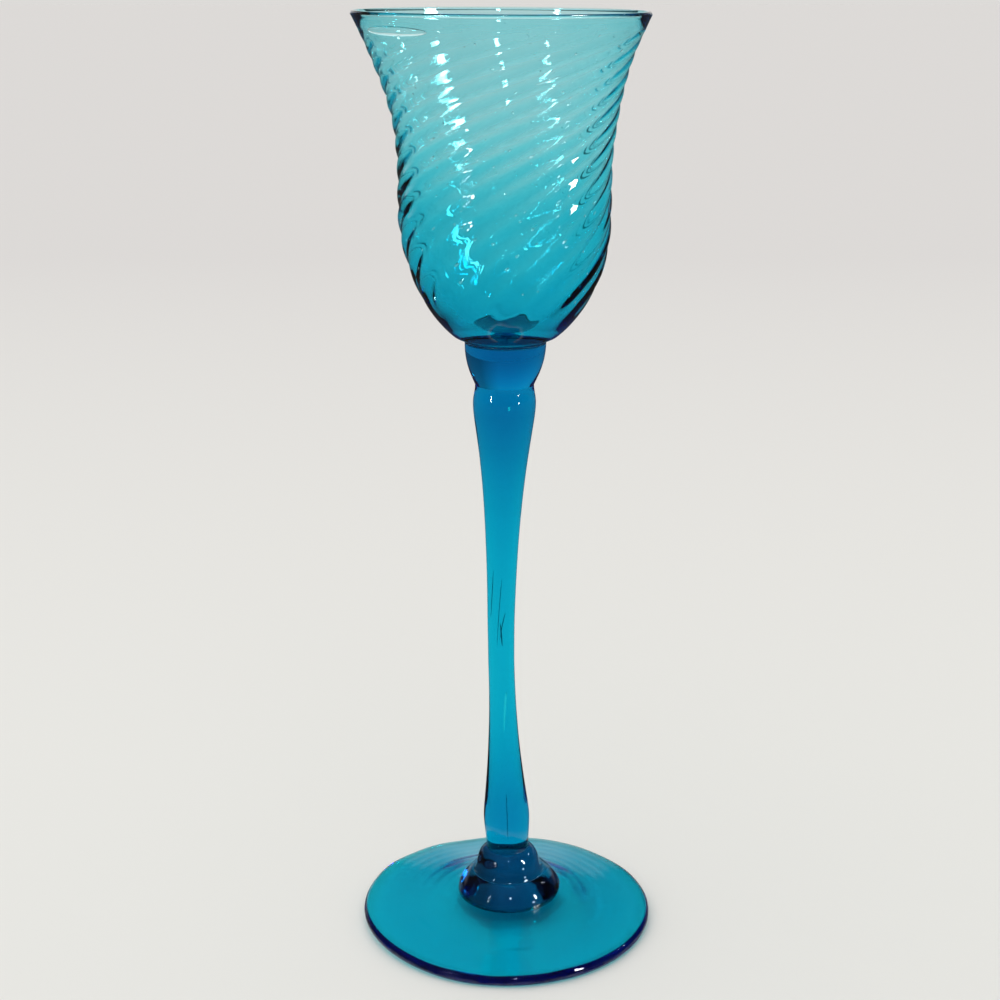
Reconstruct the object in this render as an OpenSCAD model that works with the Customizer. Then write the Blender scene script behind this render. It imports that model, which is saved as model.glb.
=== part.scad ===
// Stemmed goblet of turquoise bubble glass: an optic-blown bowl with swirled ribs, a collar,
// a drawn baluster stem, a two-tier knop and a spun foot. Millimetres, +Z up, and the foot's
// resting ring lies on Z = 0 with its centre at the origin.

/* [Bowl] */
// Height of the bowl from its seat on the collar to the rim
bowl_h = 83.6; // [60:0.2:110]
// Diameter of the bowl over the rim
rim_d = 75; // [60:0.2:90]
// Diameter of the straight belly
belly_d = 54.2; // [44:0.2:58]
// Height of the belly's lower end above the seat
belly_h = 34.6; // [24:0.2:44]
// Height of the straight band of the belly
belly_band_h = 9; // [0:0.5:16]
// Bend of the flare: a higher value turns the mouth out later and faster
flare_bend = 2; // [1.4:0.1:3]
// Diameter of the seat where the bowl is fused to the collar
bowl_seat_d = 21.3; // [18:0.1:30]

/* [Bowl wall] */
// Thickness of the wall just under the lip
wall_rim_t = 1; // [0.8:0.05:1.6]
// Thickness of the wall at the belly
wall_belly_t = 2.3; // [1.6:0.05:3.5]
// Thickness of the glass at the bottom of the bowl
wall_base_t = 5; // [3:0.1:9]
// Thickness of the fire-polished lip
lip_t = 2.4; // [1.6:0.05:3]
// Height over which the wall swells into the lip
lip_swell_h = 4; // [1:0.1:6]

/* [Swirl ribs] */
// Number of ribs round the bowl
rib_count = 16; // [8:1:20]
// Depth of the ribs from crest to valley
rib_depth = 0.5; // [0.1:0.05:0.9]
// Twist of the ribs at the collar, in degrees per millimetre of height
twist_low = 1.3; // [0:0.1:3]
// Twist of the ribs at the rim, in degrees per millimetre of height
twist_high = 6.1; // [1:0.1:8]
// Height over which the ribs grow out of the collar
rib_grow_h = 12; // [4:0.5:25]
// Height over which the ribs melt away under the lip
rib_melt_h = 5; // [2:0.5:12]

/* [Collar] */
// Height of the collar between the stem and the bowl
collar_h = 11.1; // [6:0.1:18]
// Diameter of the neck where the collar is fused to the stem
neck_d = 15.5; // [13:0.1:16.2]
// How far the collar swells outwards just above the neck
collar_swell = 0.6; // [0.2:0.05:2]
// Height of that swell above the neck
collar_swell_h = 2.4; // [1:0.1:5]
// Height of the rounded upper side of the collar
collar_round_h = 5.9; // [2:0.1:7]
// How far the collar's side draws in below the bowl
collar_draw = 0.25; // [0:0.05:1]

/* [Stem] */
// Length of the stem between the knop and the collar
stem_l = 134.4; // [90:0.1:180]
// Diameter of the stem where it is fused to the knop
stem_foot_d = 11.8; // [9:0.1:12.2]
// Diameter of the lower bulge
bulge_d = 12.8; // [12.4:0.1:17]
// Height of the bulge above the knop
bulge_h = 9.9; // [5:0.1:14]
// Diameter of the waist, the thinnest place
waist_d = 7.2; // [5.5:0.1:11]
// Height of the waist above the knop
waist_h = 53.5; // [40:0.5:75]
// Diameter of the shoulder under the neck
shoulder_d = 16.7; // [16.4:0.1:22]
// Distance of the shoulder below the neck
shoulder_drop = 5; // [3:0.1:9]
// Length of the curve's pull away from the bulge
bulge_pull = 4; // [2:0.5:14]
// Length of the curve's pull below the waist
waist_pull_low = 24.5; // [10:0.5:40]
// Length of the curve's pull above the waist
waist_pull_high = 57; // [10:0.5:60]
// Length of the curve's pull below the shoulder
shoulder_pull = 7.6; // [2:0.1:14]

/* [Knop] */
// Height of the upper tier of the knop
knop_h = 7; // [4:0.1:12]
// Diameter of the upper tier
knop_d = 18.3; // [16:0.1:26]
// Height of its widest line above the lower tier
knop_belly_h = 1.6; // [0.5:0.1:2.5]
// Width of the shoulder round the foot of the stem
knop_shoulder_w = 0.1; // [0.1:0.05:1]

/* [Foot merese] */
// Height of the lower tier of the knop
merese_h = 6.5; // [3:0.1:10]
// Diameter of the lower tier
merese_d = 28.8; // [26:0.1:40]
// Height of its widest line above the foot
merese_belly_h = 0.9; // [0.5:0.1:3]
// Width of the step round the upper tier
merese_step_w = 0.45; // [0.1:0.05:1]

/* [Foot] */
// Diameter of the foot
foot_d = 81.4; // [66:0.2:100]
// Thickness of the fire-polished edge of the foot
foot_edge_t = 2.5; // [2:0.1:5]
// Rise of the foot's upper side from its edge to the knop
foot_rise = 4.9; // [2:0.1:10]
// Thickness of the foot's plate under the knop
foot_plate_t = 3.6; // [3:0.1:5]
// Width of the flat ring that the foot rests on
rest_ring_w = 2.4; // [1:0.1:6]
// Diameter of the ground pontil mark under the foot
pontil_d = 12; // [6:0.5:20]
// Depth of the pontil mark
pontil_depth = 0.6; // [0.2:0.1:1.2]

/* [Hidden] */
$fn = 96;

// Each piece is fused on top of the one below, so the heights add up from the foot
foot_top_z = foot_edge_t + foot_rise;
merese_top_z = foot_top_z + merese_h;
knop_top_z = merese_top_z + knop_h;
stem_top_z = knop_top_z + stem_l;
collar_top_z = stem_top_z + collar_h;

// Steps along each curve of an outline
curve_steps = 14;
short_curve_steps = 6;

// Grid of the bowl: columns follow the ribs, rings crowd towards the rim where the twist is fast
columns_per_rib = 4;
columns = rib_count * columns_per_rib;
outer_rings = 48;
lip_rings = 4;
inner_wall_rings = 9;
inner_base_rings = 8;
ring_crowding = 1.3;

// Bowl outline: a half ellipse, a straight band and a curve that flares to the lip
belly_r = belly_d / 2;
lip_r = lip_t / 2;
lip_h = bowl_h - lip_r;
ellipse_h = belly_h / sqrt(1 - (bowl_seat_d / belly_d)^2);
flare_h = belly_h + belly_band_h;
flare_out = (rim_d - belly_d) / 2;
cavity_belly_r = belly_r - wall_belly_t;
cavity_depth = belly_h - wall_base_t;

function bezier(p0, p1, p2, p3, t) =
    (1 - t)^3 * p0 + 3 * t * (1 - t)^2 * p1 + 3 * t^2 * (1 - t) * p2 + t^3 * p3;

// Points of a curve after its first point, so that curves can be chained
function curve(p0, p1, p2, p3, steps) = [for (i = [1:steps]) bezier(p0, p1, p2, p3, i / steps)];

// Radius of the arc that stands upright at one end and moves by draw over rise
function arc_r(draw, rise) = (draw^2 + rise^2) / (2 * draw);

function smooth(t) = let (s = min(1, max(0, t))) s * s * (3 - 2 * s);

// Mean radius of the bowl's outer side at height h above the seat
function bowl_r(h) =
    h < belly_h ? belly_r * sqrt(1 - ((belly_h - h) / ellipse_h)^2) :
    h < flare_h ? belly_r :
    belly_r + flare_out * ((h - flare_h) / (lip_h - flare_h))^flare_bend;

// Wall above the belly: it thins with the square of the height and swells into the lip
function wall_t(h) =
    let (left = (lip_h - h) / (lip_h - belly_h))
    wall_rim_t + (wall_belly_t - wall_rim_t) * left^2
    + (lip_t - wall_rim_t) * smooth(1 - (lip_h - h) / lip_swell_h);

function twist(h) = twist_low * h + (twist_high - twist_low) * h^2 / (2 * bowl_h);

function rib_swell(h) =
    rib_depth / 2 * smooth(h / rib_grow_h) * smooth((lip_h - h) / rib_melt_h);

// Each ring of the bowl is [radius, height, swell of the ribs, turn in degrees]
function outer_ring(t) =
    let (h = lip_h * (1 - (1 - t)^ring_crowding))
    [bowl_r(h), h, rib_swell(h), twist(h)];
function lip_ring(a) =
    [rim_d / 2 - lip_r + lip_r * cos(a), lip_h + lip_r * sin(a), 0, twist(lip_h)];
function inner_wall_ring(h) = [bowl_r(h) - wall_t(h), h, 0, twist(lip_h)];
function inner_base_ring(a) =
    [cavity_belly_r * cos(a), belly_h - cavity_depth * sin(a), 0, twist(lip_h)];

bowl_rings = concat(
    [for (i = [0:outer_rings]) outer_ring(i / outer_rings)],
    [for (i = [1:lip_rings - 1]) lip_ring(180 * i / lip_rings)],
    [for (i = [0:inner_wall_rings]) inner_wall_ring(lip_h + (belly_h - lip_h) * i / inner_wall_rings)],
    [for (i = [1:inner_base_rings - 1]) inner_base_ring(90 * i / inner_base_rings)]
);

function ring_point(ring, column) =
    let (
        r = ring[0] + ring[2] * cos(360 * column / columns_per_rib),
        a = 360 * column / columns + ring[3]
    )
    [r * cos(a), r * sin(a), collar_top_z + ring[1]];

// Body of a revolved bead: a disc whose side is one round arc, upright at its widest line
module bead(d, top_d, h, belly_h) {
    side_r = arc_r((d - top_d) / 2, h - belly_h);
    core_r = d / 2 - side_r;
    rotate_extrude()
        intersection() {
            square([d / 2, h]);
            union() {
                translate([core_r, belly_h])
                    circle(side_r);
                square([max(core_r, top_d / 4), h]);
            }
        }
}

module foot() {
    edge_r = foot_edge_t / 2;
    slope = atan(foot_rise / (foot_d / 2 - edge_r - merese_d / 2));
    edge_point = [foot_d / 2 - edge_r * (1 - sin(slope)), edge_r * (1 + cos(slope))];
    hollow_h = foot_top_z - foot_plate_t;
    hollow_r = foot_d / 2 - edge_r - rest_ring_w;
    pontil_r = arc_r(pontil_depth, pontil_d / 2);
    color("#0a93b6")
        rotate_extrude()
            difference() {
                union() {
                    translate([foot_d / 2 - edge_r, edge_r])
                        circle(edge_r);
                    polygon([
                        [0, 0],
                        [foot_d / 2 - edge_r, 0],
                        edge_point,
                        [merese_d / 2, foot_top_z],
                        [0, foot_top_z]
                    ]);
                }
                polygon([[0, -foot_edge_t], [hollow_r, -foot_edge_t], [hollow_r, 0],
                    [merese_d / 2, hollow_h], [0, hollow_h]]);
                intersection() {
                    translate([0, hollow_h + pontil_depth - pontil_r])
                        circle(pontil_r);
                    square([pontil_d / 2, foot_top_z]);
                }
                translate([-foot_d, -foot_d])
                    square([foot_d, 2 * foot_d]);
            }
}

module foot_merese() {
    color("#0b5c94")
        translate([0, 0, foot_top_z])
            bead(merese_d, knop_d + 2 * merese_step_w, merese_h, merese_belly_h);
}

module stem_knop() {
    color("#0a4f88")
        translate([0, 0, merese_top_z])
            bead(knop_d, stem_foot_d + 2 * knop_shoulder_w, knop_h, knop_belly_h);
}

module stem() {
    base = [stem_foot_d / 2, 0];
    bulge = [bulge_d / 2, bulge_h];
    waist = [waist_d / 2, waist_h];
    shoulder = [shoulder_d / 2, stem_l - shoulder_drop];
    neck = [neck_d / 2, stem_l];
    up = [0, 1];
    color("#0a86b4")
        translate([0, 0, knop_top_z])
            rotate_extrude()
                polygon(concat(
                    [[0, 0], base],
                    curve(base, base + bulge_h / 3 * up, bulge - bulge_h / 3 * up, bulge,
                        short_curve_steps),
                    curve(bulge, bulge + bulge_pull * up, waist - waist_pull_low * up, waist,
                        curve_steps),
                    curve(waist, waist + waist_pull_high * up, shoulder - shoulder_pull * up, shoulder,
                        curve_steps),
                    curve(shoulder, shoulder + shoulder_drop / 3 * up, neck - shoulder_drop / 3 * up, neck,
                        short_curve_steps),
                    [[0, stem_l]]
                ));
}

module bowl_collar() {
    neck = [neck_d / 2, 0];
    seat = [bowl_seat_d / 2, collar_h];
    color("#0a79b2")
        translate([0, 0, stem_top_z])
            rotate_extrude()
                polygon(concat(
                    [[0, 0], neck],
                    curve(neck, neck + [collar_swell, collar_swell_h],
                        seat - [collar_draw, collar_round_h], seat, curve_steps),
                    [[0, collar_h]]
                ));
}

// Shell of the bowl: one skin runs up the ribbed outside, over the lip and down the smooth inside
module bowl() {
    last = len(bowl_rings) - 1;
    pole = len(bowl_rings) * columns;
    points = concat(
        [for (ring = bowl_rings) for (c = [0:columns - 1]) ring_point(ring, c)],
        [[0, 0, collar_top_z + wall_base_t]]
    );
    seat_face = [for (c = [0:columns - 1]) c];
    skin_faces = [
        for (i = [0:last - 1])
            for (c = [0:columns - 1])
                let (
                    next = (c + 1) % columns,
                    low = i * columns,
                    high = low + columns
                )
                each [[low + c, high + c, low + next], [low + next, high + c, high + next]]
    ];
    pole_faces = [for (c = [0:columns - 1])
        [last * columns + c, pole, last * columns + (c + 1) % columns]];
    color("#63bcc4")
        polyhedron(points, concat([seat_face], skin_faces, pole_faces));
}

foot();
foot_merese();
stem_knop();
stem();
bowl_collar();
bowl();
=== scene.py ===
# %% [markdown]
# # A goblet of turquoise bubble glass
# The goblet is hand-blown: a bowl with swirled ribs, a collar, a drawn stem, a two-tier knop and a
# spun foot, fused hot one on the other. The CAD frame fixes the size and place of every piece. This
# lesson builds a smooth glass skin for each one, colours the glass through its depth, puts the seeds
# and the marks of the hand into it, and sets up the camera and the light. The glass is measured in
# millimetres, and Blender's metres come in where a mesh is made.

# %% Load the frame
import math

import bpy
import numpy as np
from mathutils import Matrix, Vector


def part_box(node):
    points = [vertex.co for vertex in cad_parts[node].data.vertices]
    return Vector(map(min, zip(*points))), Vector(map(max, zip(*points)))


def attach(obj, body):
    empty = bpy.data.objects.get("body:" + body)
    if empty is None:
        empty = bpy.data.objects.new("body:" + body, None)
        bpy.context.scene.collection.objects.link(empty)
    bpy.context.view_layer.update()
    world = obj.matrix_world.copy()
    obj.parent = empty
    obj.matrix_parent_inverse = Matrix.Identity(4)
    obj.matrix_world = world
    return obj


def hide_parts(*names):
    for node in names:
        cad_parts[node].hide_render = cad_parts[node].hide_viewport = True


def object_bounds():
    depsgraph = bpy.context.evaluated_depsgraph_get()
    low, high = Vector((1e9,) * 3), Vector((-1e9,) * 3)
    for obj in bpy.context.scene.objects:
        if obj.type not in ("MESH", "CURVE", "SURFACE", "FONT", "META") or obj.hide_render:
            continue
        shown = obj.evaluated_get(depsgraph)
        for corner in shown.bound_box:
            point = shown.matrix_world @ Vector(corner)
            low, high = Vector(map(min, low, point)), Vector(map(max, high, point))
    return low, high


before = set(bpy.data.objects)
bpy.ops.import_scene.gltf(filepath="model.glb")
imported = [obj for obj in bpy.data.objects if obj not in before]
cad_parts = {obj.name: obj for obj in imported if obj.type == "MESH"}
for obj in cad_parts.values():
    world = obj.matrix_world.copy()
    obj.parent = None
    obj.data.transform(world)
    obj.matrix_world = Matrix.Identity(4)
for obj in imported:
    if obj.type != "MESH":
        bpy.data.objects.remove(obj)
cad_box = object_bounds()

MM = 0.001
scene = bpy.context.scene
print("CAD box in mm:", [[round(x / MM, 2) for x in corner] for corner in cad_box])

# %% [markdown]
# ## The camera
# The picture is a close, slightly high view of a standing glass. The camera could be placed by eye,
# but this one is measured: its height, distance and tilt were worked
# out from the ellipses of the rim and the foot, and its lens from the size of the object.

# %% Camera
IMAGE_PX = 1000
FOCAL_PX = 1788.4
SENSOR_MM = 36
camera_eye = Vector((-1.45, -459.1, 261.0)) * MM
camera_pitch_deg = 16.68

camera_data = bpy.data.cameras.new("goblet_camera")
camera_data.sensor_width = SENSOR_MM
camera_data.lens = FOCAL_PX / IMAGE_PX * SENSOR_MM
camera_data.clip_start = 0.01
camera = bpy.data.objects.new("goblet_camera", camera_data)
camera.location = camera_eye
camera.rotation_euler = (math.radians(90 - camera_pitch_deg), 0, 0)
scene.collection.objects.link(camera)
scene.camera = camera
print("camera lens:", round(camera_data.lens, 2), "mm")

# %% [markdown]
# ## Colours and shader nodes
# Colours are written as sRGB hex values, the way a paint program shows them, and one function turns
# them to the linear values that the renderer works in. A second small function adds a shader node
# together with its settings and its links, so that each material below reads as a short recipe.

# %% Colour and node helpers
def linear(hex_colour):
    channels = [int(hex_colour[i:i + 2], 16) / 255 for i in (1, 3, 5)]
    return tuple(c / 12.92 if c <= 0.04045 else ((c + 0.055) / 1.055) ** 2.4 for c in channels) + (1.0,)


def add_node(tree, kind, settings=None, links=None):
    node = tree.nodes.new(kind)
    for name, value in (settings or {}).items():
        if isinstance(name, int) or name in node.inputs:
            node.inputs[name].default_value = value
        else:
            setattr(node, name, value)
    for name, socket in (links or {}).items():
        tree.links.new(socket, node.inputs[name])
    return node


def empty_material(name):
    material = bpy.data.materials.new(name)
    material.use_nodes = True
    material.node_tree.nodes.clear()
    return material


print("mid grey in linear light:", round(linear("#808080")[0], 3))

# %% [markdown]
# ## The floor
# The glass stands on a pale, matt board that turns a shade darker with distance. A whole studio could be
# modelled, but a wide plane is enough: the camera looks down, so the board fills nearly all of the picture,
# and the glass shows it through its own colour. It lies a hair below the foot, so that their faces don't
# meet. A mirror image of a white board would lay a grey veil over the glass, so beyond the foot the board is
# painted dark for mirror rays: a painted dark reflection. A glass foot also gathers lamp light on the board
# below it. The lamps of this scene leave the board alone, so that pool of light is painted: the board is
# simply painted whiter there.

# %% Floor material
board_near, board_far = "#e5e6e4", "#d9d8d8"
# Two painted tones: white for the pool of light the glass foot would gather, dark for the board as mirror
# rays see it.
painted_caustic_white, painted_mirror_dark = "#ffffff", "#3c3c3b"
fade_from_m, fade_to_m = 0.1, 1.2
under_foot_m, under_foot_end_m = 0.036, 0.040
mirror_dark_from_m, mirror_dark_full_m = 0.041, 0.052


def ray_kinds(tree):
    ray = add_node(tree, "ShaderNodeLightPath")
    mirror = add_node(tree, "ShaderNodeMath", {"operation": "MULTIPLY"},
                      {0: ray.outputs["Is Glossy Ray"], 1: ray.outputs["Is Reflection Ray"]})
    return mirror.outputs["Value"], ray.outputs["Is Camera Ray"]


# Painted fibre board: chalk matt, so it shows soft shade and no glare of the windows. Its colour also carries
# painted light: whiter under the foot, and dark beyond it for mirror rays.
floor_paint = empty_material("matt_white_board")
tree = floor_paint.node_tree
mirror, _ = ray_kinds(tree)
on_floor = add_node(tree, "ShaderNodeTexCoord")
floor_axes = add_node(tree, "ShaderNodeSeparateXYZ", links={"Vector": on_floor.outputs["Object"]})
reach = add_node(tree, "ShaderNodeVectorMath", {"operation": "LENGTH"}, {0: on_floor.outputs["Object"]})
far = add_node(tree, "ShaderNodeMapRange", {"From Min": fade_from_m, "From Max": fade_to_m},
               {"Value": floor_axes.outputs["Y"]})
white = add_node(tree, "ShaderNodeMix",
                 {"data_type": "RGBA", 6: linear(board_near), 7: linear(board_far)},
                 {0: far.outputs["Result"]})
# Painted light: the board is painted whiter in a ring under the foot.
under = add_node(tree, "ShaderNodeMapRange",
                 {"From Min": under_foot_m, "From Max": under_foot_end_m, "To Min": 1.0, "To Max": 0.0},
                 {"Value": reach.outputs["Value"]})
gathered = add_node(tree, "ShaderNodeMix", {"data_type": "RGBA", 7: linear(painted_caustic_white)},
                    {0: under.outputs["Result"], 6: white.outputs[2]})
# Painted reflection: beyond the foot the board is painted dark for mirror rays.
clear = add_node(tree, "ShaderNodeMapRange", {"From Min": mirror_dark_from_m, "From Max": mirror_dark_full_m},
                 {"Value": reach.outputs["Value"]})
veiled = add_node(tree, "ShaderNodeMath", {"operation": "MULTIPLY"}, {0: mirror, 1: clear.outputs["Result"]})
shade = add_node(tree, "ShaderNodeMix", {"data_type": "RGBA", 7: linear(painted_mirror_dark)},
                 {0: veiled.outputs["Value"], 6: gathered.outputs[2]})
paint = add_node(tree, "ShaderNodeBsdfPrincipled", {"Roughness": 1.0, "Specular IOR Level": 0.0},
                 {"Base Color": shade.outputs[2]})
add_node(tree, "ShaderNodeOutputMaterial", links={"Surface": paint.outputs["BSDF"]})
print("floor material:", len(tree.nodes), "nodes")

# %% Floor plane
FLOOR_HALF_M = 12.0
FLOOR_DROP_MM = 0.05
corners = [(-1, -1), (1, -1), (1, 1), (-1, 1)]
floor_mesh = bpy.data.meshes.new("floor")
floor_mesh.from_pydata([(x * FLOOR_HALF_M, y * FLOOR_HALF_M, -FLOOR_DROP_MM * MM) for x, y in corners],
                       [], [(0, 1, 2, 3)])
floor_mesh.materials.append(floor_paint)
floor = bpy.data.objects.new("floor", floor_mesh)
scene.collection.objects.link(floor)
print("floor:", 2 * FLOOR_HALF_M, "m wide")

# %% [markdown]
# ## The light
# Glass shows what is round it, so the surroundings matter more than the lamps. Reflector cards could be
# built, but a world shader that changes with direction does the same with a few values. The dome is bright
# overhead and behind the glass, darker on the camera's side and darker on the right: that gives the clear
# bowl its glow and the thick edges their dark lines. Mirror rays see a dim dome with one lit strip low at
# the back, so that reflections don't wash out the colour. Directions are given as parts of a unit vector:
# X to the right, Y to the back and Z up.

# %% Dome
dome_front, dome_back, dome_top = 0.34, 0.70, 1.49
dome_right = 0.45
dome_seen = 0.72
mirror_dim, mirror_strip = 0.045, 0.95

world = bpy.data.worlds.new("studio_dome")
scene.world = world
world.use_nodes = True
tree = world.node_tree
tree.nodes.clear()
direction = add_node(tree, "ShaderNodeTexCoord")
axes = add_node(tree, "ShaderNodeSeparateXYZ", links={"Vector": direction.outputs["Generated"]})
front_to_back = add_node(tree, "ShaderNodeMapRange",
                         {"From Min": -0.9, "From Max": 0.5, "To Min": dome_front, "To Max": dome_back},
                         {"Value": axes.outputs["Y"]})
upward = add_node(tree, "ShaderNodeMapRange",
                  {"From Min": 0.0, "From Max": 0.9, "To Min": 0.0, "To Max": 1.0},
                  {"Value": axes.outputs["Z"]})
height = add_node(tree, "ShaderNodeMix", {"data_type": "FLOAT", "B": dome_top},
                  {"Factor": upward.outputs["Result"], "A": front_to_back.outputs["Result"]})
right_side = add_node(tree, "ShaderNodeMapRange",
                      {"From Min": 0.12, "From Max": 0.5, "To Min": 1.0, "To Max": dome_right},
                      {"Value": axes.outputs["X"]})
sided = add_node(tree, "ShaderNodeMath", {"operation": "MULTIPLY"},
                 {0: height.outputs["Result"], 1: right_side.outputs["Result"]})
mirror, seen = ray_kinds(tree)
low = add_node(tree, "ShaderNodeMapRange",
               {"From Min": 0.12, "From Max": 0.3, "To Min": 1.0, "To Max": 0.0},
               {"Value": axes.outputs["Z"]})
behind = add_node(tree, "ShaderNodeMapRange",
                  {"From Min": 0.5, "From Max": 0.9, "To Min": mirror_dim, "To Max": mirror_strip},
                  {"Value": axes.outputs["Y"]})
lit_strip = add_node(tree, "ShaderNodeMix", {"data_type": "FLOAT", "A": mirror_dim},
                     {"Factor": low.outputs["Result"], "B": behind.outputs["Result"]})
mirrored = add_node(tree, "ShaderNodeMix", {"data_type": "FLOAT", "A": 1.0},
                    {"Factor": mirror, "B": lit_strip.outputs["Result"]})
dimmed = add_node(tree, "ShaderNodeMath", {"operation": "MULTIPLY"},
                  {0: sided.outputs["Value"], 1: mirrored.outputs["Result"]})
dome = add_node(tree, "ShaderNodeMix", {"data_type": "FLOAT", "B": dome_seen},
                {"Factor": seen, "A": dimmed.outputs["Value"]})
glow = add_node(tree, "ShaderNodeBackground", {"Color": linear("#fffdfa")},
                {"Strength": dome.outputs["Result"]})
add_node(tree, "ShaderNodeOutputWorld", links={"Surface": glow.outputs["Background"]})
print("dome:", len(tree.nodes), "nodes")

# %% [markdown]
# The bright flecks on the ribs and the knop are mirror images of windows. They could be painted as white
# spots, but then they wouldn't follow the ribs. Each rib tips the mirror up and down, so one tall window
# turns into one fleck on every rib, and a column of small panes into a string of dots. A pane is seen only
# in the glass: it is left out for light that has already touched the floor, so the floor and the colours
# keep their plain level. Each call below gives the window's azimuth, its lowest and highest elevation in
# degrees, the number of panes, their width and height in metres, and how bright they are.

# %% Windows
WINDOW_DISTANCE_M = 1.5


def pane_light(name, width, height, radiance):
    data = bpy.data.lights.new(name, "AREA")
    data.shape = "RECTANGLE"
    data.size = width
    data.size_y = height
    data.energy = radiance * math.pi * width * height
    data.use_nodes = True
    tree = data.node_tree
    tree.nodes.clear()
    ray = add_node(tree, "ShaderNodeLightPath")
    first = add_node(tree, "ShaderNodeMath", {"operation": "LESS_THAN", 1: 0.5},
                     {0: ray.outputs["Diffuse Depth"]})
    pane = add_node(tree, "ShaderNodeEmission", links={"Strength": first.outputs["Value"]})
    add_node(tree, "ShaderNodeOutputLight", links={"Surface": pane.outputs["Emission"]})
    return data


def window(name, azimuth_deg, low_deg, high_deg, panes, width, height, radiance):
    data = pane_light(name, width, height, radiance)
    side = math.radians(azimuth_deg)
    for row, up in enumerate(np.radians(np.linspace(low_deg, high_deg, panes))):
        away = Vector((math.sin(side) * math.cos(up), -math.cos(side) * math.cos(up), math.sin(up)))
        lamp = bpy.data.objects.new(f"{name}_{row}", data)
        lamp.location = (cad_box[0] + cad_box[1]) / 2 + away * WINDOW_DISTANCE_M
        lamp.rotation_euler = (-away).to_track_quat("-Z", "Y").to_euler()
        lamp.visible_diffuse = False
        scene.collection.objects.link(lamp)
    print(name, panes, "panes")


window("window_right", 64, 25, 25, 1, 0.2, 0.62, 60)
window("window_low", 54, 1, 1, 1, 0.1, 0.08, 25)
window("window_left", -50, 6, 36, 5, 0.08, 0.1, 50)
window("window_side", 114, 26, 34, 2, 0.05, 0.08, 30)
window("window_front", 3, 44, 44, 1, 0.07, 0.2, 40)

# %% [markdown]
# ## Outlines
# Every piece of a blown goblet is round, so each one starts as an outline of radius and height, in
# millimetres, that is spun round the axis. The outlines could be drawn by hand with many points. Here
# straight runs need two points and round stretches come from an arc or a Bezier curve, which keeps the
# number of chosen values small. The sizes themselves are read from the CAD nodes.

# %% Outline helpers
def arc(centre_r, centre_z, radius, start_deg, end_deg, steps):
    angles = np.radians(np.linspace(start_deg, end_deg, steps + 1))
    return np.column_stack([centre_r + radius * np.cos(angles), centre_z + radius * np.sin(angles)])


def bezier(p0, p1, p2, p3, steps):
    t = np.linspace(0, 1, steps + 1)[:, None]
    p0, p1, p2, p3 = (np.array(p, float) for p in (p0, p1, p2, p3))
    return (1 - t) ** 3 * p0 + 3 * t * (1 - t) ** 2 * p1 + 3 * t ** 2 * (1 - t) * p2 + t ** 3 * p3


def smooth(t):
    s = np.clip(t, 0, 1)
    return s * s * (3 - 2 * s)


def node_size(node):
    low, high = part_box(node)
    return (high.x - low.x) / 2 / MM, low.z / MM, high.z / MM


foot_r, _, foot_top = node_size("foot")
merese_r, merese_z, merese_top = node_size("foot_merese")
knop_r, knop_z, knop_top = node_size("stem_knop")
shoulder_r, stem_z, stem_top = node_size("stem")
collar_r, collar_z, collar_top = node_size("bowl_collar")
rim_r, bowl_z, bowl_top = node_size("bowl")
print("joint heights in mm:", [round(z, 2) for z in (foot_top, merese_top, knop_top, stem_top, collar_top)])
print("half widths in mm:", [round(r, 2) for r in (foot_r, merese_r, knop_r, shoulder_r, collar_r, rim_r)])

# %% [markdown]
# ## The hand of the maker
# A gaffer turns and joins the pieces by eye, so the axis wanders by about a millimetre, the rim dips
# a little to one side and the foot's left edge stands just clear of the floor. Each piece could be bent
# by itself, but one function bends them all in the same way, so the pieces still meet at their joints.

# %% Drift of the axis
drift_z = [0, 4, 9, 14, 20, 26, 35, 54, 77, 89, 112, 137, 155, 170, 185, 200, 223, 231, 238, 250]
drift_x = [0.3, 0.4, 1.25, 1.0, 0.75, 0.55, 0.28, -0.4, -1.08, -1.16, -0.86, -0.4, -0.25, 0.05, 0.2, -0.3,
           -0.2, -0.55, -1.0, -1.15]
RIM_TILT = -0.005
RIM_TILT_FROM_MM = 215
FOOT_LIFT_MM = 1.0
FOOT_LIFT_FROM = 0.2
FOOT_LIFT_TOP_MM, FOOT_LIFT_FADE_MM = 12, 6


def hand_made(points):
    x, y, z = points.T
    moved_x = x + np.interp(z, drift_z, drift_x)
    rim_lift = RIM_TILT * x * smooth((z - RIM_TILT_FROM_MM) / (bowl_top - RIM_TILT_FROM_MM))
    to_left = smooth((-x - FOOT_LIFT_FROM * foot_r) / ((1 - FOOT_LIFT_FROM) * foot_r))
    foot_lift = FOOT_LIFT_MM * to_left * smooth((FOOT_LIFT_TOP_MM - z) / FOOT_LIFT_FADE_MM)
    return np.column_stack([moved_x, y, z + rim_lift + foot_lift])


print("axis drifts from", min(drift_x), "to", max(drift_x), "mm")

# %% [markdown]
# Hot glass also keeps small ripples from its own flow. A noise texture could fake them with bump, but then
# the light would bend at the wrong places. Adding up a few waves in random directions gives a field that
# moves the mesh itself. The directions come from a seeded generator, so every run gives the same glass.

# %% Ripples
def ripple(points, wave_mm, seed, waves=14):
    rng = np.random.default_rng(seed)
    heading = rng.normal(size=(waves, 3))
    heading /= np.linalg.norm(heading, axis=1)[:, None]
    heading *= 2 * math.pi / wave_mm * rng.uniform(0.7, 1.4, waves)[:, None]
    phase = rng.uniform(0, 2 * math.pi, waves)
    return np.sin(points @ heading.T + phase).sum(-1) / math.sqrt(waves)


def skin_points(radius, height, angle):
    return np.stack([radius * np.cos(angle), radius * np.sin(angle), height + 0 * angle], -1)


test_ring = skin_points(rim_r, bowl_top, np.linspace(0, 2 * math.pi, 200))
print("ripple round the rim, spread:", round(float(ripple(test_ring, 9, 13).std()), 2))

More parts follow.
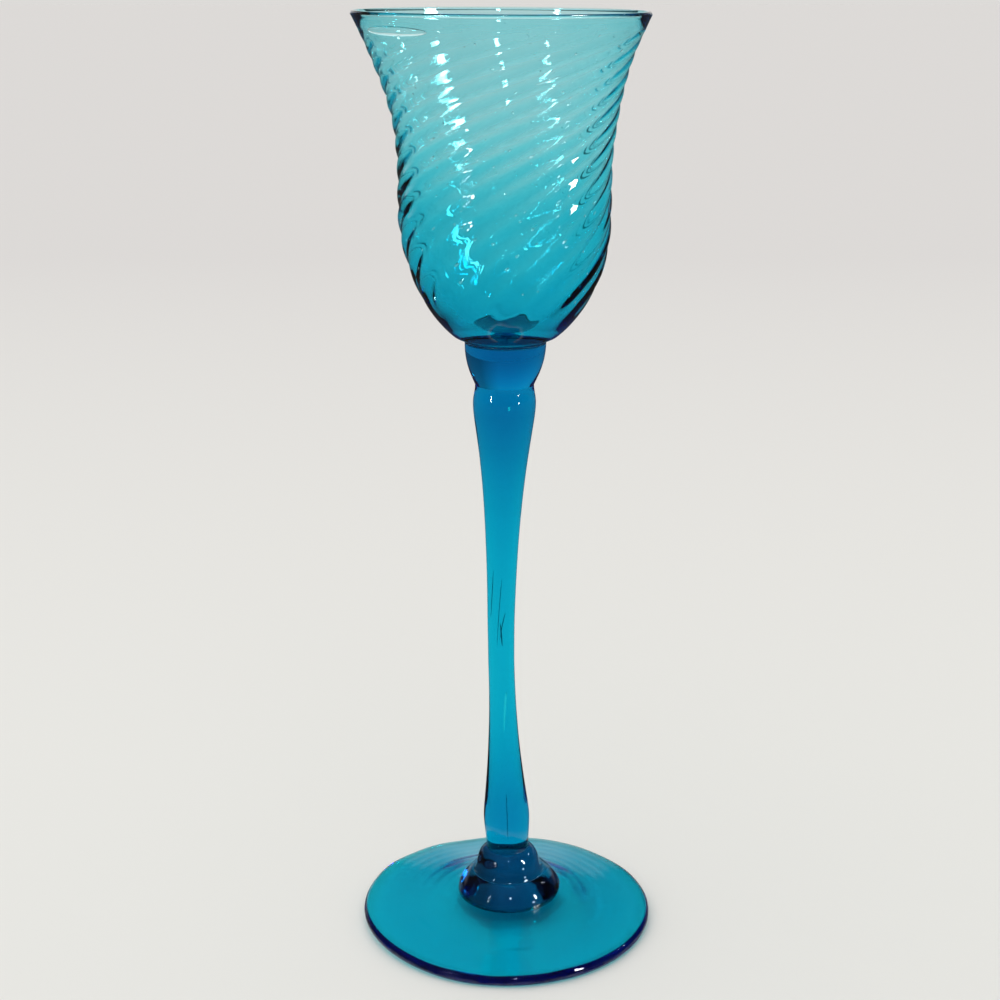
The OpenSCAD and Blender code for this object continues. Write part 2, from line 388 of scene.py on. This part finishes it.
# %% [markdown]
# ## Spinning an outline into glass
# Blender's Screw modifier could spin an outline, but a lathe in mesh code also carries the ribs and the
# marks of the joints. It builds the skin ring by ring, with one point at each end of the axis, so the mesh
# is closed and has a true inside: the colour of the glass depends on the way through it. A relief moves
# the skin in or out by fractions of a millimetre. Where two pieces are fused there is no surface in the
# real object. The two faces of a joint lie a hair apart here, and a face attribute called fused marks them,
# so that the glass shader can let light pass straight on.

# %% Lathe
JOINT_HAIR_MM = 0.01
SHARP_DEG = 50


def lathe(name, outline, columns, fused_low=False, fused_high=False, relief=None, bubbles=None):
    outline = np.array(outline, float)
    run = np.gradient(outline, axis=0)[1:-1]
    out = np.column_stack([run[:, 1], -run[:, 0]]) / np.linalg.norm(run, axis=1)[:, None]
    radius, height = outline[1:-1].T
    angle = np.linspace(0, 2 * math.pi, columns, endpoint=False)
    swell = np.zeros((len(radius), columns))
    if relief is not None:
        swell = relief(radius[:, None], height[:, None], angle[None, :], np.arange(len(radius))[:, None])
    ring_r = radius[:, None] + out[:, :1] * swell
    ring_z = height[:, None] + out[:, 1:] * swell
    grid = np.stack([ring_r * np.cos(angle), ring_r * np.sin(angle), ring_z], -1)
    points = np.vstack([[[0, 0, outline[0, 1]]], grid.reshape(-1, 3), [[0, 0, outline[-1, 1]]]])

    rings = len(radius)
    top = len(points) - 1
    column = np.arange(columns)
    after = (column + 1) % columns
    faces = [(0, int(1 + b), int(1 + a)) for a, b in zip(column, after)]
    for ring in range(rings - 1):
        low = 1 + ring * columns
        high = low + columns
        faces += [(int(low + a), int(low + b), int(high + b), int(high + a)) for a, b in zip(column, after)]
    last = 1 + (rings - 1) * columns
    faces += [(int(last + a), int(last + b), top) for a, b in zip(column, after)]
    fused = np.zeros((rings + 1, columns), np.float32)
    fused[0] = fused_low
    fused[-1] = fused_high

    if bubbles is not None:
        bubble_points, bubble_faces = bubbles
        faces += [tuple(i + len(points) for i in face) for face in bubble_faces]
        points = np.vstack([points, bubble_points])
    mesh = bpy.data.meshes.new(name)
    mesh.from_pydata((hand_made(points) * MM).tolist(), [], faces)
    mesh.shade_smooth()
    mesh.set_sharp_from_angle(angle=math.radians(SHARP_DEG))
    marks = np.zeros(len(faces), np.float32)
    marks[:fused.size] = fused.ravel()
    mesh.attributes.new("fused", "FLOAT", "FACE").data.foreach_set("value", marks)
    piece = bpy.data.objects.new(name, mesh)
    scene.collection.objects.link(piece)
    print(name, len(mesh.vertices), "points,", int(fused.sum()), "fused faces")
    return piece


print("the two faces of a joint lie", 2 * JOINT_HAIR_MM, "mm apart")

# %% [markdown]
# ## Seeds
# Bubble glass is full of seeds: gas that was trapped in the melt and drawn out as the glass was blown.
# Small white balls would look like paint. A seed is a hollow in the glass, so it belongs to the same
# closed skin, turned inside out, and bends the light by itself. Each one is a small ellipsoid with its
# long axis along the way the glass was drawn.

# %% Seed shells
def unit_ball(columns, rings):
    tilt = np.linspace(0, math.pi, rings + 2)[1:-1]
    turn = np.linspace(0, 2 * math.pi, columns, endpoint=False)
    points = [(math.cos(t), math.sin(t) * math.cos(a), math.sin(t) * math.sin(a)) for t in tilt for a in turn]
    first = len(points)
    last = first + 1
    end = (rings - 1) * columns
    inward = []
    for a in range(columns):
        b = (a + 1) % columns
        inward.append((a, b, first))
        inward += [(r * columns + a, (r + 1) * columns + a, (r + 1) * columns + b, r * columns + b)
                   for r in range(rings - 1)]
        inward.append((last, end + b, end + a))
    return np.array(points + [(1, 0, 0), (-1, 0, 0)]), inward


ball, ball_faces = unit_ball(14, 11)


def shells(seeds):
    faces = [tuple(i + k * len(ball) for i in face) for k in range(len(seeds)) for face in ball_faces]
    return np.vstack(seeds), faces


print("one seed:", len(ball), "points,", len(ball_faces), "faces")

# %% [markdown]
# ## Turquoise soda-lime glass
# Turquoise glass is mostly soda-lime glass coloured with copper. The fire left it smooth, so it is clear and
# sharp, and its colour comes from depth: it swallows most red within two millimetres, green within a few
# centimetres, and blue last of all. A tinted surface would look the same in thick and thin places, so the
# colour is an absorbing volume, and the thin rim turns out pale and the thick knop navy without any
# painting. Each recipe says how fast red, green and blue light fade, as rates per metre of glass.

# %% Glass
GLASS_IOR = 1.52


def turquoise_glass(name, red_per_m, green_per_m, blue_per_m):
    material = empty_material(name)
    tree = material.node_tree
    joint = add_node(tree, "ShaderNodeAttribute", {"attribute_name": "fused"})
    ior = add_node(tree, "ShaderNodeMapRange", {"To Min": GLASS_IOR, "To Max": 1.0},
                   {"Value": joint.outputs["Fac"]})
    surface = add_node(tree, "ShaderNodeBsdfPrincipled",
                       {"Base Color": linear("#ffffff"), "Roughness": 0.0, "Transmission Weight": 1.0},
                       {"IOR": ior.outputs["Result"]})
    depth = add_node(tree, "ShaderNodeVolumeAbsorption",
                     {"Color": (0.0, 1 - green_per_m / red_per_m, 1 - blue_per_m / red_per_m, 1.0),
                      "Density": red_per_m})
    add_node(tree, "ShaderNodeOutputMaterial",
             links={"Surface": surface.outputs["BSDF"], "Volume": depth.outputs["Volume"]})
    print(name, "keeps", round(100 * math.exp(-green_per_m * MM * 10)), "% of green through 10 mm")
    return material


# Blown thin and fire polished: pale and watery, the far wall shows through.
blown_glass = turquoise_glass("blown_turquoise_glass", 720, 108, 59)
# Drawn solid: an even, deep blue that turns lighter at the thin waist.
drawn_glass = turquoise_glass("drawn_turquoise_glass", 900, 91, 39)
# Pressed on as thick beads: navy, with sharp bright flecks.
pressed_glass = turquoise_glass("pressed_turquoise_glass", 800, 128, 86)
# Spun to a plate: clear turquoise from above and dark along the edge, where one looks far through it.
spun_glass = turquoise_glass("spun_turquoise_glass", 1000, 68, 28)


def place(piece, material, node):
    piece.data.materials.append(material)
    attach(piece, "root")
    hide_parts(node)


# %% [markdown]
# ## The foot
# The foot is a spun plate with a rounded edge. It rises to the knop as a low cone and is hollow
# underneath, so it rests on a narrow ring, with a ground hollow where the pontil rod was broken off. A
# plain disc would do from above, but the hollow lets light in under the plate. The skin carries soft
# ripples and the faint rings that the spinning left. The foot isn't marked as fused to the knop: the hair
# of air between them works as a mirror, which turns the knop navy.

# %% Foot
edge_r = 1.6
rest_ring_w = 2.4
plate_t = 3.6
pontil_r, pontil_depth = 6.0, 0.6
hollow_z = foot_top - plate_t
slope_deg = math.degrees(math.atan2(foot_top - 2 * edge_r, foot_r - edge_r - merese_r))
pontil_ball = (pontil_r ** 2 + pontil_depth ** 2) / (2 * pontil_depth)
pontil_half_deg = math.degrees(math.asin(pontil_r / pontil_ball))
foot_seam_r = merese_r - 0.15
foot_seam_z = foot_top - JOINT_HAIR_MM
edge_top = arc(foot_r - edge_r, edge_r, edge_r, -90, 90 - slope_deg, 24)
foot_outline = np.vstack([
    arc(0, hollow_z + pontil_depth - pontil_ball, pontil_ball, 90, 90 - pontil_half_deg, 6),
    bezier((merese_r, hollow_z), (merese_r + 8, hollow_z - 0.9), (foot_r - 14, 0.9),
           (foot_r - edge_r - rest_ring_w, 0.02), 30),
    edge_top,
    bezier(edge_top[-1], edge_top[-1] + (-9, 1.5), (merese_r + 8, foot_top - 1.3),
           (foot_seam_r, foot_seam_z), 40)[1:],
    [(0, foot_seam_z)],
])
plate_ripple, plate_wave, plate_seed = 0.12, 16, 3
spin_line, spin_line_wave = 0.012, 1.9
spin_line_sway, spin_line_turn = 2.5, 0.7
plate_low_z, seam_fade = 1.5, 3


def foot_relief(radius, height, angle, ring):
    away = smooth((radius - foot_seam_r) / seam_fade) * (height > plate_low_z)
    waves = plate_ripple * ripple(skin_points(radius, height, angle), plate_wave, plate_seed)
    lines = np.sin(radius * spin_line_wave + spin_line_sway * np.cos(angle + spin_line_turn))
    return away * (waves + spin_line * lines)


foot = lathe("spun_foot", foot_outline, columns=192, relief=foot_relief)
place(foot, spun_glass, "foot")

# %% [markdown]
# ## The two-tier knop
# Two beads of glass are set between foot and stem, the lower one wider, and together they look like a
# bell. Each could be a squashed ball. One Bezier curve for the side gives the same round swell with a
# foot and a shoulder of the right width, and a gentle ripple breaks its mirror images into small flecks.

# %% Knop
bead_ripple, bead_wave, bead_fade = 0.06, 6, 1.0


def bead(name, low_r, low_pull, high_pull, high_r, z0, z1, seam_r, fused_low, seed):
    low = z0 + JOINT_HAIR_MM
    high = z1 - JOINT_HAIR_MM
    side = bezier((low_r, low), low_pull, high_pull, (high_r, high), 48)
    outline = np.vstack([[(0, low)], side, [(seam_r, high), (0, high)]])

    def wavy(radius, height, angle, ring):
        fade = smooth((height - low) / bead_fade) * smooth((high - height) / bead_fade)
        return bead_ripple * fade * ripple(skin_points(radius, height, angle), bead_wave, seed)

    return lathe(name, outline, columns=160, fused_low=fused_low, fused_high=True, relief=wavy)


stem_foot_r = 5.9
knop_foot_r = 9.9
merese = bead("foot_merese_bead", merese_r - 0.1, (merese_r + 0.7, merese_z + 2.6), (12.1, merese_top - 0.6),
              knop_foot_r + 0.2, merese_z, merese_top, knop_foot_r, False, 5)
place(merese, pressed_glass, "foot_merese")
knop = bead("stem_knop_bead", knop_foot_r, (8.5, knop_z + 1.3), (9.2, knop_top - 1.3), stem_foot_r + 0.1,
            knop_z, knop_top, stem_foot_r, True, 7)
place(knop, pressed_glass, "stem_knop")

# %% [markdown]
# ## The stem
# The stem is drawn out of a hot gather: thick under the bowl, thin at the waist, with a bulge where it
# was pressed on the knop. It could be traced point by point, but four Bezier curves follow it, upright at
# the bulge, the waist and the shoulder. Drawing leaves long shallow lines on the skin and stretches the
# seeds, so both run up and down.

# %% Stem
neck_r = 7.75
bulge = np.array((6.4, stem_z + 9.9))
waist = np.array((3.6, stem_z + 53.5))
shoulder = np.array((shoulder_r, stem_top - 5.0))
base = np.array((stem_foot_r, stem_z + JOINT_HAIR_MM))
neck = np.array((neck_r, stem_top - JOINT_HAIR_MM))
up = np.array((0, 1))
stem_outline = np.vstack([
    [(0, base[1])],
    bezier(base, base + 3.5 * up, bulge - 3.5 * up, bulge, 16)[:-1],
    bezier(bulge, bulge + 4 * up, waist - 24.5 * up, waist, 50)[:-1],
    bezier(waist, waist + 57 * up, shoulder - 7.6 * up, shoulder, 60)[:-1],
    bezier(shoulder, shoulder + 1.7 * up, neck - 1.7 * up, neck, 16),
    [(0, neck[1])],
])
draw_line_depth, draw_line_fade, draw_line_seed = 0.03, 6, 11
fewest_lobes, most_lobes = 2, 8
lean_least, lean_most = -0.02, 0.05


def draw_lines(radius, height, angle, ring):
    rng = np.random.default_rng(draw_line_seed)
    lines = 0 * height * angle
    for lobes in range(fewest_lobes, most_lobes + 1):
        phase = rng.uniform(0, 2 * math.pi)
        lean = rng.uniform(lean_least, lean_most)
        lines = lines + np.cos(lobes * angle + phase + lean * height) / math.sqrt(lobes)
    ends = smooth((height - stem_z) / draw_line_fade) * smooth((stem_top - height) / draw_line_fade)
    return draw_line_depth * ends * lines


def streak(x, y, z, half_wide, half_long, lean):
    along, across, through = ball.T
    return np.column_stack([x + half_wide * across + lean * half_long * along, y + half_wide * through,
                            z + half_long * along])


stem_seeds = shells([
    streak(0.9, -2.0, 149.5, 0.25, 0.5, 0.0),
    streak(0.4, 1.1, 62, 0.12, 6.0, 0.03),
])
stem = lathe("drawn_stem", stem_outline, columns=128, fused_low=True, fused_high=True,
             relief=draw_lines, bubbles=stem_seeds)
place(stem, drawn_glass, "stem")

# %% [markdown]
# Fine dark threads run up the waist and the bulge and darken the stem in thin streaks. They could be
# painted on, but inside the stem the round glass spreads them. Each thread is a long thin ellipsoid, the
# same ball as a seed with its faces turned outward.

# %% Threads in the stem
thread_patch_mm = 2.0
# Dark threads: matt and dull blue-grey, with paler flecks in noise patches.
thread_matter = empty_material("dark_matt_threads")
tree = thread_matter.node_tree
in_thread = add_node(tree, "ShaderNodeTexCoord")
flecks = add_node(tree, "ShaderNodeTexNoise", {"Scale": 1 / (thread_patch_mm * MM), "Detail": 2.0},
                  {"Vector": in_thread.outputs["Object"]})
dull = add_node(tree, "ShaderNodeMix", {"data_type": "RGBA", 6: linear("#1c3a4c"), 7: linear("#5f8ea3")},
                {0: flecks.outputs["Fac"]})
matt = add_node(tree, "ShaderNodeBsdfPrincipled", {"Roughness": 0.9}, {"Base Color": dull.outputs[2]})
add_node(tree, "ShaderNodeOutputMaterial", links={"Surface": matt.outputs["BSDF"]})


def inclusion(name, points, faces, material):
    mesh = bpy.data.meshes.new(name)
    mesh.from_pydata((points * MM).tolist(), [], faces)
    mesh.materials.append(material)
    piece = bpy.data.objects.new(name, mesh)
    scene.collection.objects.link(piece)
    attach(piece, "root")
    print(name, len(mesh.vertices), "points")
    return piece


thread_points, thread_faces = shells([
    streak(-0.35, -0.6, 92, 0.07, 10.0, 0.05),
    streak(0.15, -0.3, 85.5, 0.12, 3.4, -0.05),
    streak(0.3, -0.5, 88, 0.07, 4.0, 0.12),
    streak(0.2, 0.4, 31, 0.06, 7.0, 0.0),
    streak(-1.6, 0.4, 97, 0.05, 7.0, 0.02),
])
threads = inclusion("dark_stem_threads", hand_made(thread_points), [face[::-1] for face in thread_faces], thread_matter)
threads.data.shade_smooth()

# %% [markdown]
# ## The collar
# A cup-shaped bit of glass carries the bowl. It could be a squashed ball, but one Bezier curve from the
# neck of the stem to the seat of the bowl has the right width at both ends.

# %% Collar
collar_low = collar_z + JOINT_HAIR_MM
collar_high = collar_top - JOINT_HAIR_MM
collar_outline = np.vstack([
    [(0, collar_low)],
    bezier((neck_r, collar_low), (neck_r + 0.9, collar_low + 2.2), (collar_r, collar_high - 5.5),
           (collar_r, collar_high), 32),
    [(0, collar_high)],
])
collar = lathe("bowl_collar_bead", collar_outline, columns=128, fused_low=True, fused_high=True)
place(collar, drawn_glass, "bowl_collar")

# %% [markdown]
# Where the bowl was set on the collar a film of air stayed in the joint. It could be a cloud of tiny seeds
# or a scattering volume, but both are slow and noisy inside coloured glass. A flat lens of matt, cloudy
# stuff just under the joint gives the same paler seam.

# %% Film of air in the joint
film_r, film_t, film_drop = 10.2, 0.1, 0.12
film_patch_mm = 3.0
# Air trapped as countless fine bubbles: matt, milky and slightly blue, in uneven patches.
film_glass = empty_material("milky_trapped_air")
tree = film_glass.node_tree
in_film = add_node(tree, "ShaderNodeTexCoord")
patches = add_node(tree, "ShaderNodeTexNoise", {"Scale": 1 / (film_patch_mm * MM), "Detail": 3.0},
                   {"Vector": in_film.outputs["Object"]})
cloud = add_node(tree, "ShaderNodeMix", {"data_type": "RGBA", 6: linear("#78bcd8"), 7: linear("#a6dcf0")},
                 {0: patches.outputs["Fac"]})
milk = add_node(tree, "ShaderNodeBsdfPrincipled", {"Roughness": 1.0}, {"Base Color": cloud.outputs[2]})
add_node(tree, "ShaderNodeOutputMaterial", links={"Surface": milk.outputs["BSDF"]})
film_points = ball[:, ::-1] * (film_r, film_r, film_t / 2) + (0, 0, collar_top - film_drop)
inclusion("trapped_air_film", film_points, ball_faces, film_glass)

# %% [markdown]
# ## The swirl-ribbed bowl
# The gather was dipped in a ribbed optic mould, twisted and blown out. The wall is thin at the rim and
# thicker at the belly, so the colour deepens downward. A Solidify modifier would give one thickness
# everywhere. Here the outer side is an ellipse and a flare, and the inner side is the outer one less a
# wall that changes with height, down to a hollow with a rounded bottom.

# %% Walls of the bowl
belly_r, belly_h, belly_band_h = 27.1, 34.6, 9.0
flare_bend = 2.0
wall_rim_t, wall_belly_t, wall_base_t = 0.8, 2.05, 1.5
wall_bend, hollow_bend = 4.6, 1.92
lip_t, lip_swell_h, lip_steps = 1.6, 3.2, 20

bowl_h = bowl_top - bowl_z
lip_h = bowl_h - lip_t / 2
ellipse_h = belly_h / math.sqrt(1 - (collar_r / belly_r) ** 2)
flare_h = belly_h + belly_band_h


def bowl_r(h):
    h = np.asarray(h, float)
    cup = belly_r * np.sqrt(np.clip(1 - ((belly_h - h) / ellipse_h) ** 2, 0, 1))
    flare = belly_r + (rim_r - belly_r) * np.clip((h - flare_h) / (lip_h - flare_h), 0, 1) ** flare_bend
    return np.where(h < belly_h, cup, flare)


def lip_swell(h):
    return (lip_t - wall_rim_t) * smooth(1 - (lip_h - h) / lip_swell_h)


def wall_t(h):
    left = np.clip((lip_h - h) / (lip_h - belly_h), 0, 1)
    return wall_rim_t + (wall_belly_t - wall_rim_t) * left ** wall_bend + lip_swell(h)


print("wall at belly and mid flare in mm:", [round(float(wall_t(h)), 2) for h in (belly_h, 60)])

# %% Outline of the bowl
fillet_h, fillet_pull = 2.2, 1.2
crowd_to_lip = 1.15
outer_up = fillet_h + (lip_h - fillet_h) * (1 - (1 - np.linspace(0, 1, 180)) ** crowd_to_lip)
outer = np.vstack([
    bezier((collar_r, JOINT_HAIR_MM), (collar_r, fillet_pull), (bowl_r(fillet_pull), fillet_pull),
           (bowl_r(fillet_h), fillet_h), 12)[:-1],
    np.column_stack([bowl_r(outer_up), outer_up]),
])
outer_rings = len(outer)
inner_up = np.linspace(lip_h, belly_h, 90)
base_angle = np.radians(np.linspace(0, 90, 60))[1:]
hollow_r = belly_r - wall_belly_t
hollow_depth = belly_h - wall_base_t
bowl_outline = np.vstack([
    [(0, JOINT_HAIR_MM)],
    outer,
    arc(rim_r - lip_t / 2, lip_h, lip_t / 2, 0, 180, lip_steps)[1:-1],
    np.column_stack([bowl_r(inner_up) - wall_t(inner_up), inner_up]),
    np.column_stack([hollow_r * np.cos(base_angle).clip(0) ** (2 / hollow_bend),
                     belly_h - hollow_depth * np.sin(base_angle) ** (2 / hollow_bend)]),
]) + (0, bowl_z)
bowl_outline[-1, 0] = 0
print("bowl outline:", len(bowl_outline), "points,", outer_rings, "of them outside")

# %% [markdown]
# Low down the ribs stand steep, and towards the mouth, where the glass was spun open, they lie almost
# flat. Ribs could be swept as sixteen curves, but a rib is just a wave round the bowl whose start turns
# with height, so one cosine makes them all. They are deeper on one side, as an uneven gather gives, and
# only on the outside, because the breath smooths the inside. The lip is slimmer at front and back than
# at its sides.

# %% Swirled ribs
rib_count = 16
rib_high, rib_low, rib_back = 0.12, 0.26, 0.2
rib_start_h, rib_grow_h, rib_melt_h, rib_deepen_h = 4.0, 20.0, 12.0, 38
twist_low, twist_high = 1.3, 6.1
shallow_side, shallow_fade = 0.75, 0.8
slim_lip_side = 0.45
flow_depth, flow_wave, flow_seed = 0.012, 9, 13
flow_clear_h, flow_grow_h, flow_melt_h = 1, 3, 2


def swirl_deg(h):
    return twist_low * h + (twist_high - twist_low) * h ** 2 / (2 * bowl_h)


def swirl_ribs(radius, height, angle, ring):
    h = height - bowl_z
    fade = smooth((h - rib_start_h) / rib_grow_h) * smooth((lip_h - h) / rib_melt_h)
    front = smooth((shallow_side - np.sin(angle)) / shallow_fade)
    deep = rib_high + (rib_low - rib_high) * smooth((lip_h - h) / rib_deepen_h)
    depth = np.where(ring < outer_rings, deep * (rib_back + (1 - rib_back) * front), 0)
    ribs = depth * np.cos(rib_count * (angle - np.radians(swirl_deg(h))))
    flow = smooth((h - flow_clear_h) / flow_grow_h) * smooth((bowl_h - flow_clear_h - h) / flow_melt_h)
    waves = ripple(skin_points(radius, height, angle), flow_wave, flow_seed)
    over_lip = np.clip(1 - 2 * (ring - outer_rings) / lip_steps, 0, 1) ** 2
    slim = over_lip * lip_swell(h) * smooth(np.abs(np.sin(angle)) / slim_lip_side)
    return fade * ribs + flow * flow_depth * waves - slim


print("the ribs turn by", round(swirl_deg(bowl_h)), "degrees from bottom to lip")

# %% [markdown]
# The seeds of the bowl sit in the middle of its wall, drawn out along the swirl. They could be scattered
# with a particle system. A seeded list keeps every one in place from run to run and inside the wall. Two
# are larger: a long flat blister just under the rim on the left, and a thin thread on the right. A crowd
# of tiny ones lies in the crease above the collar.

# %% Seeds of the bowl
seed_count, crease_seed_count = 240, 60
seed_low_h, seed_high_h = belly_h - 22, lip_h - 4
seed_min, seed_max, seed_thick = 0.12, 0.28, 0.25
low_seed_gain, most_stretch = 1.25, 3
crease_r, crease_h, crease_size = (8.0, 10.6), (0.35, 0.9), (0.08, 0.2)


def wall_seed(h, azimuth_deg, half_long, half_wide, half_thick, lean_deg):
    along, across, through = ball.T * np.array([[half_long], [half_wide], [half_thick]])
    lean = math.radians(lean_deg)
    up = h + along * math.sin(lean) + across * math.cos(lean)
    around = along * math.cos(lean) - across * math.sin(lean)
    r = bowl_r(up) - 0.5 * wall_t(up) + through
    turn = math.radians(azimuth_deg - 90) + around / r
    return np.column_stack([r * np.cos(turn), r * np.sin(turn), bowl_z + up])


rng = np.random.default_rng(21)
bowl_seeds = []
for _ in range(seed_count):
    h = rng.uniform(seed_low_h, seed_high_h)
    size = rng.uniform(seed_min, seed_max) * (1 if h > belly_h else low_seed_gain)
    stretch = 1 + most_stretch * rng.random() ** 3
    rib_turn = math.radians(swirl_deg(h + 0.5) - swirl_deg(h - 0.5))
    rib_lean_deg = math.degrees(math.atan2(1, rib_turn * bowl_r(h)))
    azimuth_deg = rng.uniform(0, 360)
    bowl_seeds.append(wall_seed(h, azimuth_deg, size * stretch, size, min(size, seed_thick), rib_lean_deg))
for _ in range(crease_seed_count):
    r = rng.uniform(*crease_r)
    turn = rng.uniform(0, 2 * math.pi)
    h = rng.uniform(*crease_h)
    size = rng.uniform(*crease_size)
    bowl_seeds.append(ball * (size, size, size / 2) + (r * math.cos(turn), r * math.sin(turn), bowl_z + h))
bowl_seeds.append(wall_seed(79.4, -47, 11.0, 1.15, 0.2, 0))
bowl_seeds.append(wall_seed(68.5, 20, 3.4, 0.17, 0.15, 18))
print(len(bowl_seeds), "seeds in the bowl")

# %% Bowl
bowl = lathe("swirl_ribbed_bowl", bowl_outline, columns=320, fused_low=True, relief=swirl_ribs,
             bubbles=shells(bowl_seeds))
place(bowl, blown_glass, "bowl")

# %% [markdown]
# ## Render settings that glass needs
# A ray crosses many surfaces on its way through bowl and stem, and runs along inside a thick edge by
# mirroring again and again. With the usual few bounces such edges turn black, so more are allowed here.

# %% Glass paths
scene.cycles.max_bounces = 64
scene.cycles.transmission_bounces = 64
scene.cycles.glossy_bounces = 24
scene.cycles.sample_clamp_indirect = 0
scene.view_settings.view_transform = "Standard"
print("bounces allowed:", scene.cycles.max_bounces)
